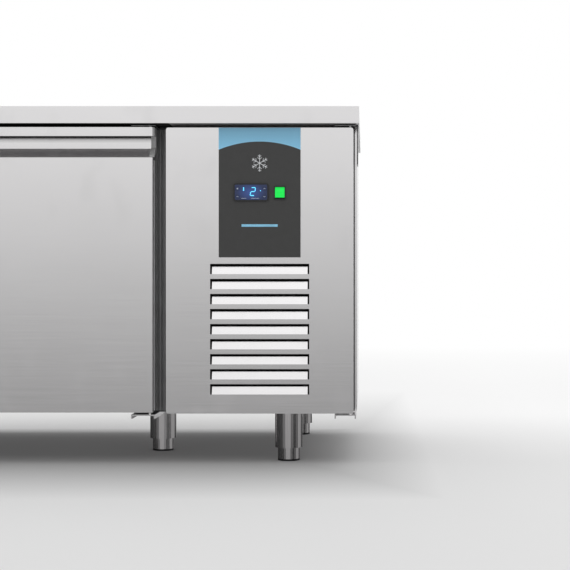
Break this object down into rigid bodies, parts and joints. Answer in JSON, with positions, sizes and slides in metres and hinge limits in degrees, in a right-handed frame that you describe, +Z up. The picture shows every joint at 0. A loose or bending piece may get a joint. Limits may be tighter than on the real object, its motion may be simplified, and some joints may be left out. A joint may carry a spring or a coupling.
{
  "type": "refrigerated counter",
  "caption": "Stainless refrigerated counter with hinged doors, a louvred machine compartment with thermostat and switch, and adjustable feet.",
  "frame": {"origin": "on the floor under the middle of the worktop", "axes": "+Z up, the doors and the service panel face -Y, +X is the machine compartment's side, the right-hand side seen from the front"},
  "size_m": [1.37, 0.7, 0.85],
  "materials": {
    "steel": "satin",
    "liner_steel": "satin",
    "leg_steel": "satin",
    "foam": "matte",
    "board": "matte",
    "seal_rubber": "matte",
    "cap_plastic": "satin",
    "black_plastic": "satin",
    "label_film": "satin",
    "display_lens": "gloss",
    "rocker_green": "satin",
    "black_paint": "satin",
    "copper": "satin",
    "fins": "satin"
  },
  "bodies": {
    "cabinet": {"worktop_top": "steel", "outer_casing": "steel", "centre_mullion": "steel", "machine_housing": "steel", "machine_base": "steel", "door_right_lower_bracket": "steel", "door_right_upper_bracket": "steel", "door_left_lower_bracket": "steel", "door_left_upper_bracket": "steel", "panel_lower_bracket": "steel", "panel_upper_bracket": "steel", "inner_liner": "liner_steel", "shelf_left": "liner_steel", "shelf_right": "liner_steel", "shelf_runner_left": "liner_steel", "shelf_runner_right": "liner_steel", "shelf_runner_centre": "liner_steel", "evaporator_duct": "liner_steel", "leg_sleeve_front_right": "leg_steel", "leg_sleeve_rear_right": "leg_steel", "leg_sleeve_middle": "leg_steel", "leg_sleeve_front_left": "leg_steel", "leg_sleeve_rear_left": "leg_steel", "insulation_foam": "foam", "worktop_board": "board", "drain_tray": "black_plastic", "fan_shroud": "black_paint", "compressor": "black_paint", "refrigerant_line": "copper", "evaporator_coil": "fins", "condenser_coil": "fins"},
    "door_right": {"door_right_skin": "steel", "door_right_liner": "liner_steel", "door_right_foam": "foam", "door_right_gasket": "seal_rubber", "door_right_hinge_cap": "cap_plastic", "door_right_free_cap": "cap_plastic"},
    "door_left": {"door_left_skin": "steel", "door_left_liner": "liner_steel", "door_left_foam": "foam", "door_left_gasket": "seal_rubber", "door_left_hinge_cap": "cap_plastic", "door_left_free_cap": "cap_plastic"},
    "service_panel": {"service_panel_skin": "steel", "label_plate": "label_film", "controller_housing": "black_plastic", "controller_lens": "display_lens", "switch_bezel": "black_plastic"},
    "rocker": {"switch_rocker": "rocker_green"},
    "button_set": {"button_set": "display_lens"},
    "button_defrost": {"button_defrost": "display_lens"},
    "button_up": {"button_up": "display_lens"},
    "button_down": {"button_down": "display_lens"},
    "condenser_fan": {"condenser_fan_wheel": "black_plastic"},
    "evaporator_fan": {"evaporator_fan_wheel": "black_plastic"},
    "foot_front_right": {"foot_front_right": "leg_steel"},
    "foot_rear_right": {"foot_rear_right": "leg_steel"},
    "foot_middle": {"foot_middle": "leg_steel"},
    "foot_front_left": {"foot_front_left": "leg_steel"},
    "foot_rear_left": {"foot_rear_left": "leg_steel"}
  },
  "joints": [
    {"name": "door_right_hinge", "type": "hinge", "parent": "cabinet", "child": "door_right", "pos_m": [0.1845, -0.326, 0.121], "axis": [0, 0, 1], "range_deg": [0, 100]},
    {"name": "door_left_hinge", "type": "hinge", "parent": "cabinet", "child": "door_left", "pos_m": [-0.6628, -0.326, 0.121], "axis": [0, 0, -1], "range_deg": [0, 100]},
    {"name": "service_panel_hinge", "type": "hinge", "parent": "cabinet", "child": "service_panel", "pos_m": [0.6633, -0.326, 0.1185], "axis": [0, 0, 1], "range_deg": [0, 90]},
    {"name": "rocker_pivot", "type": "hinge", "parent": "service_panel", "child": "rocker", "pos_m": [0.496, -0.332, 0.6445], "axis": [1, 0, 0], "range_deg": [0, 14]},
    {"name": "button_set_press", "type": "slide", "parent": "service_panel", "child": "button_set", "axis": [0, 1, 0], "range_m": [0, 0.0008]},
    {"name": "button_defrost_press", "type": "slide", "parent": "service_panel", "child": "button_defrost", "axis": [0, 1, 0], "range_m": [0, 0.0008]},
    {"name": "button_up_press", "type": "slide", "parent": "service_panel", "child": "button_up", "axis": [0, 1, 0], "range_m": [0, 0.0008]},
    {"name": "button_down_press", "type": "slide", "parent": "service_panel", "child": "button_down", "axis": [0, 1, 0], "range_m": [0, 0.0008]},
    {"name": "condenser_fan_spin", "type": "hinge", "parent": "cabinet", "child": "condenser_fan", "pos_m": [0.41, -0.166, 0.285], "axis": [0, 1, 0], "continuous": true},
    {"name": "evaporator_fan_spin", "type": "hinge", "parent": "cabinet", "child": "evaporator_fan", "pos_m": [0.122, 0.035, 0.62], "axis": [1, 0, 0], "continuous": true},
    {"name": "foot_front_right_height", "type": "slide", "parent": "cabinet", "child": "foot_front_right", "axis": [0, 0, -1], "range_m": [0, 0.04]},
    {"name": "foot_rear_right_height", "type": "slide", "parent": "cabinet", "child": "foot_rear_right", "axis": [0, 0, -1], "range_m": [0, 0.04]},
    {"name": "foot_middle_height", "type": "slide", "parent": "cabinet", "child": "foot_middle", "axis": [0, 0, -1], "range_m": [0, 0.04]},
    {"name": "foot_front_left_height", "type": "slide", "parent": "cabinet", "child": "foot_front_left", "axis": [0, 0, -1], "range_m": [0, 0.04]},
    {"name": "foot_rear_left_height", "type": "slide", "parent": "cabinet", "child": "foot_rear_left", "axis": [0, 0, -1], "range_m": [0, 0.04]}
  ]
}
